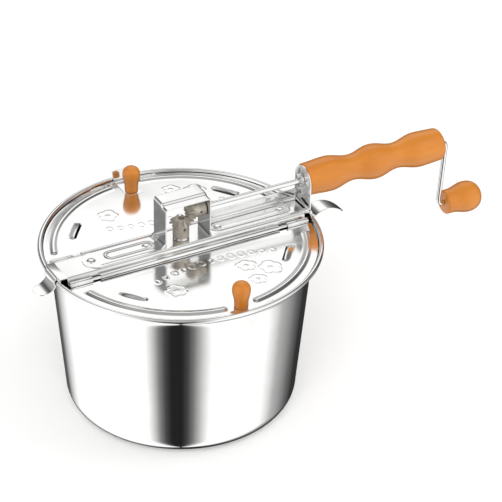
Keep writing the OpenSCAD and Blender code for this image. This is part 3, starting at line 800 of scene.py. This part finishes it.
def make_flap_knob(node, body):
    lo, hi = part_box(node)
    height = hi.z - lo.z
    shape = Shape()
    profile = knob_profile(height, FLAP_KNOB_FOOT_R, (hi.x - lo.x) / 2, 4 * MM, 0.7 * height)
    lathe(shape, profile, (0, (lo.y + hi.y) / 2, lo.z), steps=72)
    knob = shape.object(node + "_wood", sharp=60)
    finish_piece(knob, "honey_wood", body, node, material=UPRIGHT_WOOD)


def make_hand_knob():
    length = HAND_HIGH.x - HAND_LOW.x
    z = (HAND_LOW.z + HAND_HIGH.z) / 2
    bulb_r = (HAND_HIGH.z - HAND_LOW.z) / 2
    profile = knob_profile(length, HAND_KNOB_FOOT_R, bulb_r, 6 * MM, 0.62 * length)
    pocket = [(0, 3 * MM), (3.1 * MM, 3 * MM), (3.1 * MM, 0)]
    shape = Shape()
    lathe(shape, pocket + profile[1:], (HAND_LOW.x, 0, z), (1, 0, 0), 88)
    finish_piece(shape.object("crank_knob_wood", sharp=60), "honey_wood", "hand_knob", "crank_knob")


# ---------------------------------------------------------------- crank, gears and stirrer
def make_crank():
    bend = 5.5 * MM
    lean = math.radians(4)
    turn = math.pi / 2 + lean
    bend_x = GRIP_HIGH.x + 2 * MM
    knob_z = (HAND_LOW.z + HAND_HIGH.z) / 2
    drop = AXIS_Z - knob_z
    arm = (drop - 2 * bend * (1 - math.cos(turn))) / math.sin(turn)
    steps = 14
    points = [(ROD_LOW.x, 0, AXIS_Z), (ROD_LOW.x + 0.5 * MM, 0, AXIS_Z), (bend_x - 1 * MM, 0, AXIS_Z)]
    for a in np.linspace(0, turn, steps):
        points.append((bend_x + bend * math.sin(a), 0, AXIS_Z - bend * (1 - math.cos(a))))
    x, _, z = points[-1]
    x += arm * math.cos(turn)
    z -= arm * math.sin(turn)
    centre = (x + bend * math.sin(turn), z + bend * math.cos(turn))
    for a in np.linspace(turn, 0, steps):
        points.append((centre[0] - bend * math.sin(a), 0, centre[1] - bend * math.cos(a)))
    points += [(HAND_LOW.x + 20 * MM, 0, knob_z), (ROD_HIGH.x, 0, knob_z)]
    radii = [ROD_R] * len(points)
    radii[0] = ROD_R - 0.4 * MM
    shape = Shape()
    sweep(shape, points, radii, 36)
    finish_piece(shape.object("crank_rod_bar"), "bright_steel", "crank", "crank_rod")

    # star retainer on the rod inside the end plate, with crimped teeth
    def star(r, h, a):
        return r * (1 - 0.045 * (1 + math.cos(8 * a)) * (r > 3.3 * MM))

    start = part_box("rod_retainer")[0].x
    profile = [(2.6, 0), (3.2, 0), (3.5, 0.5), (3.6, 1.4), (4.4, 1.7), (4.8, 2.0), (4.8, 2.5), (2.6, 2.6)]
    shape = Shape()
    lathe(shape, [(r * MM, h * MM) for r, h in profile], (start, 0, AXIS_Z), (1, 0, 0), 48, star)
    finish_piece(shape.object("rod_retainer_star"), "bright_steel", "crank", "rod_retainer")


# Tooth tip and root as factors of the pitch radius. The CAD's tips reach 1.25; these stop short of them.
TOOTH_TIP = 1.09
TOOTH_ROOT = math.tan(math.radians(45) - math.atan(0.141))


def gear_outline(share, teeth, phase):
    """Radius of a bevel gear's section, as a factor of the pitch radius, at an angle."""
    flank = ((0.20, TOOTH_TIP), (0.25, 1.0), (0.30, TOOTH_ROOT))
    u = abs((share * teeth - phase + 0.5) % 1 - 0.5)
    if u <= flank[0][0]:
        return TOOTH_TIP
    for (a, ra), (b, rb) in zip(flank, flank[1:]):
        if u <= b:
            return ra + (rb - ra) * (u - a) / (b - a)
    return TOOTH_ROOT


def make_gear(name, node, body, slot_pin, origin, direction, phase, back, bore):
    teeth, pitch, face, hub = 10, 10 * MM, 4.2 * MM, 7.6 * MM
    steps = 240
    toe = pitch - face
    soft = 0.35 * MM

    def section(r, z, a):
        if z < -pitch + 1e-6 and r <= hub + 1e-9:
            return r
        if r <= bore + 1e-6:
            return r
        return r * gear_outline(a / (2 * math.pi), teeth, phase)

    profile = [(bore, -back), (hub - soft, -back), (hub, -back + soft), (hub, -pitch - 0.01 * MM)]
    profile += [(pitch - soft * 0.8, -pitch), (pitch - soft * 0.2, -pitch + soft * 0.4)]
    profile += [(toe + soft * 0.4, -toe - soft * 0.2), (toe - soft * 0.6, -toe)]
    profile += [(bore, -toe), (bore, -back)]
    shape = Shape()
    lathe(shape, profile, origin, direction, steps, section)
    obj = shape.object(name, sharp=32)
    lo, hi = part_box(slot_pin)
    middle = (lo + hi) / 2
    reach = hub + 2 * MM
    pin_hole = cylinder_cutter((middle.x, -reach, middle.z), (0, 1, 0), GEAR_PIN_R, 2 * reach)
    carve(obj, [pin_hole], sharp=32)
    finish_piece(obj, "cast_metal", body, node)


def make_gears():
    apex = (0, 0, AXIS_Z)
    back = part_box("drive_gear")[1].x
    make_gear("drive_gear_cast", "drive_gear", "crank", "drive_gear_pin", apex, (-1, 0, 0), 0.5, back, ROD_R)
    back = AXIS_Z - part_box("driven_gear")[0].z
    make_gear("driven_gear_cast", "driven_gear", "stirrer", "driven_gear_pin",
              apex, (0, 0, 1), 0.0, back, SHAFT_R)


def make_stirrer():
    length = SHAFT_HIGH.z - SHAFT_LOW.z
    shaft = bar("stirrer_shaft_bar", length, (0, 0, SHAFT_LOW.z), (0, 0, 1), SHAFT_R)
    finish_piece(shaft, "bright_steel", "stirrer", "stirrer_shaft")
    wire = 1.5 * MM
    bend = 6 * MM
    z = WIRE_LOW.z + wire
    reach = math.hypot(WIRE_HIGH.x - wire, WIRE_HIGH.y - wire)
    heading = math.atan2(WIRE_HIGH.y - wire, WIRE_HIGH.x - wire)
    half = [(reach, WIRE_HIGH.z), (reach, WIRE_HIGH.z - 1 * MM)]
    for a in np.linspace(0, math.pi / 2, 10):
        half.append((reach - bend + bend * math.cos(a), z + bend - bend * math.sin(a)))
    flat = half + [(-p, q) for p, q in half[::-1]]
    points = [(p * math.cos(heading), p * math.sin(heading), q) for p, q in flat]
    radii = [wire] * len(points)
    radii[0] = radii[-1] = wire * 0.75
    shape = Shape()
    sweep(shape, points, radii, 24)
    finish_piece(shape.object("stirrer_wire_bar"), "bright_steel", "stirrer", "stirrer_wire")


# ---------------------------------------------------------------- clips, lift tab, screws
def clip_path(start, end_curve):
    curl = ROLL_R + 0.5 * MM
    outside = RIM_R + 0.9 * MM
    path = arc(ROLL_X, ROLL_Z, curl, 68, -12, 10)
    path += curve(path[-1], (outside, POT_H), (outside, BEAD_Z + 0.4 * MM), 5)
    path += [(outside, BEAD_Z - 0.8 * MM)]
    hook = (RIM_R - 0.8 * MM, BEAD_Z - 3.2 * MM)
    path += curve(path[-1], (outside, BEAD_Z - 2.0 * MM), hook, 5)
    return path + [start] + end_curve


def make_clip(name, node, side, path, tip_x, root_w, tip_w):
    """A bent strip whose width narrows to a round tip."""
    fine = [path[0]]
    for p, q in zip(path, path[1:]):
        n = max(1, int(math.dist(p, q) / (0.6 * MM)))
        fine += [(p[0] + (q[0] - p[0]) * k / n, p[1] + (q[1] - p[1]) * k / n) for k in range(1, n + 1)]
    round_x = tip_x - tip_w / 2
    root_x = RIM_R + 3 * MM
    rows = 21
    verts, faces, count = [], [], 0
    for x, z in fine:
        if x > tip_x - 0.02 * MM:
            continue
        width = root_w / 2
        if x > round_x:
            width = math.sqrt(max((tip_w / 2) ** 2 - (x - round_x) ** 2, 1e-10))
        elif x > root_x:
            width = root_w / 2 + (tip_w - root_w) / 2 * (x - root_x) / (round_x - root_x)
        verts += [(side * x, width * v, z) for v in np.linspace(-1, 1, rows)]
        count += 1
    for i in range(count - 1):
        for k in range(rows - 1):
            near, far = i * rows + k, (i + 1) * rows + k
            faces.append((near, near + 1, far + 1, far))
    shape = Shape()
    shape.add(verts, faces)
    obj = shape.object(name)
    thicken(obj, SPRING_T, 0)
    bevel_edges(obj, 0.1 * MM, 60)
    bake(obj)
    smooth(obj, 45)
    finish_piece(obj, "bright_steel", node, node)


def make_clips():
    start = (RIM_R + 1.5 * MM, BEAD_Z - 6.3 * MM)
    tip = RIM_R + 17 * MM
    tongue = curve(start, (RIM_R + 6 * MM, BEAD_Z - 11 * MM), (tip + 1 * MM, BEAD_Z - 10.3 * MM), 16)
    make_clip("left_clip_spring", "left_clip", -1, clip_path(start, tongue), tip, 20 * MM, 18 * MM)
    start = (RIM_R + 2 * MM, BEAD_Z - 7 * MM)
    tip = RIM_R + 39 * MM
    lever = curve(start, (RIM_R + 20 * MM, BEAD_Z + 7.4 * MM), (tip + 1 * MM, BEAD_Z - 13.5 * MM), 40)
    make_clip("right_clip_spring", "right_clip", 1, clip_path(start, lever), tip, 20 * MM, 15 * MM)


def make_lift_tab():
    lo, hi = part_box("rear_lift_tab")
    bend, rise, t = 7 * MM, 65, SPRING_T
    floor = lo.z + t / 2
    start = RIM_R - 10.5 * MM
    path = [(lo.y, floor), (start - 3 * MM, floor)] + arc(start, floor + bend, bend, -90, rise - 90, 14)
    end = path[-1]
    lift = 5.5 * MM
    slope = math.radians(rise)
    path += [(end[0] + lift * math.cos(slope), end[1] + lift * math.sin(slope))]
    shape = Shape()
    prism(shape, ribbon(path, t), lo.x, hi.x, along_x)
    strip = shape.object("rear_lift_tab_strip", bevel=0.15 * MM)
    finish_piece(strip, "sheet_steel", "rear_flap", "rear_lift_tab")


def make_grip_screws():
    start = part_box("grip_screws")[0].x
    for k, y in enumerate((-8.5 * MM, 8.5 * MM)):
        head = [(0, 0), (1.6, 0.05), (2.4, 0.35), (2.85, 0.95), (2.9, 1.6), (1.5, 1.6)]
        head += [(1.5, 16.0), (0, 17.6)]
        shape = Shape()
        lathe(shape, [(r * MM, h * MM) for r, h in head], (start, y, AXIS_Z), (1, 0, 0), 40)
        screw = shape.object(f"grip_screw_{k}", sharp=45)
        cutters = []
        for wide, tall in ((3.2, 0.7), (0.7, 3.2)):
            box = Shape()
            outline = [(-wide, -tall), (wide, -tall), (wide, tall), (-wide, tall)]
            outline = [(y + p * MM / 2, AXIS_Z + q * MM / 2) for p, q in outline]
            plate(box, outline, start - 1 * MM, start + 0.9 * MM, along_x)
            cutters.append(box.object("cutter"))
        carve(screw, cutters, sharp=45)
        finish_piece(screw, "bright_steel", "lid", *(["grip_screws"] if k == 0 else []))


# ---------------------------------------------------------------- carried-over CAD parts
def dress_cad_parts():
    for row in frame["record"]["subparts"]:
        obj = frame["nodes"][row["node"]]
        material = MATERIALS[row["material_slot"]]
        obj.data.materials.clear()
        obj.data.materials.append(material)


# ---------------------------------------------------------------- studio
VIEW_AZIMUTH = math.radians(-27.03)
LENS_MM = 186.454
GLOSSY_STRENGTH = 1.14
DIFFUSE_STRENGTH = 0.95
BACKDROP_STRENGTH = 1.0


def make_camera():
    """The photograph's long-lens view, from the front left and above."""
    distance, height = 1.992, 1.431
    yaw, pitch, roll = 0.032, 0.570, 0.017
    forward = Vector((math.sin(yaw) * math.cos(pitch), math.cos(yaw) * math.cos(pitch), -math.sin(pitch)))
    right = Vector((math.cos(yaw), -math.sin(yaw), 0))
    up = right.cross(forward)
    side = right * math.cos(roll) + up * math.sin(roll)
    top = -right * math.sin(roll) + up * math.cos(roll)
    turn = Matrix.Rotation(VIEW_AZIMUTH, 3, "Z")
    axes = turn @ Matrix((side, top, -forward)).transposed()
    place = turn @ Vector((0, -distance, height))
    data = bpy.data.cameras.new("camera")
    data.sensor_width = 36
    data.lens = LENS_MM
    data.clip_start = 0.05
    data.clip_end = 50
    camera = bpy.data.objects.new("camera", data)
    camera.matrix_world = Matrix.Translation(place) @ axes.to_4x4()
    bpy.context.scene.collection.objects.link(camera)
    bpy.context.scene.camera = camera


def make_floor():
    half = 6.0
    below = 0.2 * MM
    corners = [(-half, -half, 0), (half, -half, 0), (half, half, 0), (-half, half, 0)]
    floor = link_mesh("floor", corners, [(0, 1, 2, 3)])
    floor.location.z = -below
    n = Nodes("floor_paper")
    n.link(n.ramp(n.noise(3.0, 2.0), [(0.0, grey(0.95)), (1.0, grey(0.97))]), n.shader.inputs["Base Color"])
    n.set(Roughness=0.9)
    floor.data.materials.append(n.mat)
    floor.visible_glossy = False


def make_light(name, place, size, watts, target=(0, 0, 0.12)):
    data = bpy.data.lights.new(name, "AREA")
    data.shape = "DISK"
    data.size = size
    data.energy = watts
    light = bpy.data.objects.new(name, data)
    light.location = place
    light.rotation_mode = "QUATERNION"
    light.rotation_quaternion = (Vector(place) - Vector(target)).to_track_quat("Z", "Y")
    light.visible_camera = False
    light.visible_glossy = False
    bpy.context.scene.collection.objects.link(light)


def make_world():
    """White studio. Bright metal sees soft dark and light panels set round the room."""
    world = bpy.data.worlds.new("studio")
    bpy.context.scene.world = world
    world.use_nodes = True
    tree = world.node_tree
    tree.nodes.clear()

    def node(kind, **values):
        n = tree.nodes.new(kind)
        for key, value in values.items():
            setattr(n, key, value)
        return n

    def plug(value, socket):
        if hasattr(value, "is_linked"):
            tree.links.new(value, socket)
        else:
            socket.default_value = value

    def maths(operation, *values):
        n = node("ShaderNodeMath", operation=operation)
        for value, socket in zip(values, n.inputs):
            plug(value, socket)
        return n.outputs[0]

    def dot(vector, along):
        n = node("ShaderNodeVectorMath", operation="DOT_PRODUCT")
        plug(vector, n.inputs[0])
        n.inputs[1].default_value = along
        return n.outputs["Value"]

    def ramp(fac, stops):
        n = node("ShaderNodeValToRGB")
        n.color_ramp.interpolation = "LINEAR"
        while len(n.color_ramp.elements) < len(stops):
            n.color_ramp.elements.new(0.5)
        for element, (place, level) in zip(n.color_ramp.elements, stops):
            element.position = place
            element.color = (level, level, level, 1)
        plug(fac, n.inputs["Fac"])
        return n.outputs["Color"]

    def mix(fac, a, b):
        n = node("ShaderNodeMix", data_type="RGBA")
        plug(fac, n.inputs["Factor"])
        plug(a, n.inputs["A"])
        plug(b, n.inputs["B"])
        return n.outputs["Result"]

    direction = node("ShaderNodeTexCoord").outputs["Generated"]
    back = (math.sin(VIEW_AZIMUTH), -math.cos(VIEW_AZIMUTH), 0)
    right = (math.cos(VIEW_AZIMUTH), math.sin(VIEW_AZIMUTH), 0)
    # angle round the room from the viewer, -180 to 180 degrees, as 0 to 1
    around = maths("ARCTAN2", dot(direction, right), dot(direction, back))
    round_room = maths("MULTIPLY_ADD", around, 0.5 / math.pi, 0.5)
    height = dot(direction, (0, 0, 1))

    def at(degrees):
        return 0.5 + degrees / 360

    low_room = ramp(round_room, [
        (0.0, 0.04), (at(-155), 0.10), (at(-142), 0.56), (at(-128), 1.0), (at(-35), 1.0), (at(-22), 0.21),
        (at(-16), 0.06), (at(-10), 0.017), (at(1), 0.015), (at(7), 0.055), (at(12.6), 0.17), (at(18.4), 0.41),
        (at(30), 1.0), (at(90), 0.97), (at(100), 0.69), (at(108), 0.43), (at(132), 0.13), (at(148), 0.03),
        (1.0, 0.03),
    ])
    side_room = ramp(round_room, [
        (0.0, 1.0), (at(-165), 0.9), (at(-150), 0.25), (at(-136), 0.05), (at(-118), 0.30), (at(-95), 0.75),
        (at(-60), 1.0), (at(-25), 0.55), (at(10), 0.40), (at(45), 0.95), (at(85), 0.75), (at(110), 0.20),
        (at(135), 0.06), (at(150), 0.22), (at(165), 0.9), (1.0, 1.0),
    ])
    behind = ramp(round_room, [
        (0.0, 1.0), (at(-164), 1.0), (at(-150), 0.0), (at(150), 0.0), (at(164), 1.0), (1.0, 1.0),
    ])
    # heights below are sines of the angle above the horizon
    back_wall = ramp(height, [
        (0.0, 0.06), (0.26, 0.22), (0.40, 0.42), (0.52, 1.0), (0.60, 1.0), (0.84, 1.0), (0.93, 0.55),
        (1.0, 0.35),
    ])
    ceiling = ramp(height, [(0.0, 0.0), (0.86, 0.0), (0.95, 1.0), (1.0, 1.0)])
    upper = mix(behind, side_room, back_wall)
    upper = mix(ceiling, upper, (0.35, 0.35, 0.35, 1))
    above = ramp(maths("MULTIPLY_ADD", height, 3.5, 0.9), [(0.0, 0.0), (1.0, 1.0)])
    panels = mix(above, low_room, upper)
    rays = node("ShaderNodeLightPath")

    def background(colour, strength):
        n = node("ShaderNodeBackground")
        plug(colour, n.inputs["Color"])
        n.inputs["Strength"].default_value = strength
        return n.outputs[0]

    def for_rays(kind, others, these):
        n = node("ShaderNodeMixShader")
        plug(rays.outputs[kind], n.inputs["Fac"])
        tree.links.new(others, n.inputs[1])
        tree.links.new(these, n.inputs[2])
        return n.outputs[0]

    white = (1, 1, 1, 1)
    lit = for_rays("Is Glossy Ray", background(white, DIFFUSE_STRENGTH), background(panels, GLOSSY_STRENGTH))
    seen = for_rays("Is Camera Ray", lit, background(white, BACKDROP_STRENGTH))
    out = node("ShaderNodeOutputWorld")
    tree.links.new(seen, out.inputs["Surface"])


def make_studio():
    make_camera()
    make_floor()
    make_world()
    make_light("key_light", (-0.9, -1.3, 1.7), 1.2, 16)
    make_light("fill_light", (1.4, -0.6, 0.9), 1.2, 5)
    bpy.context.scene.view_settings.view_transform = "Standard"


make_studio()
dress_cad_parts()
make_pot()
make_flap("front_flap_plate", -1, "front_flap", "front_flap")
make_flap("rear_flap_plate", 1, "rear_flap", "rear_flap")
make_bridge()
make_bracket()
make_rivets()
make_housing()
make_hinge_pins()
make_grip()
make_grip_screws()
make_flap_knob("front_knob", "front_flap")
make_flap_knob("rear_knob", "rear_flap")
make_lift_tab()
make_hand_knob()
make_crank()
make_gears()
make_stirrer()
make_clips()
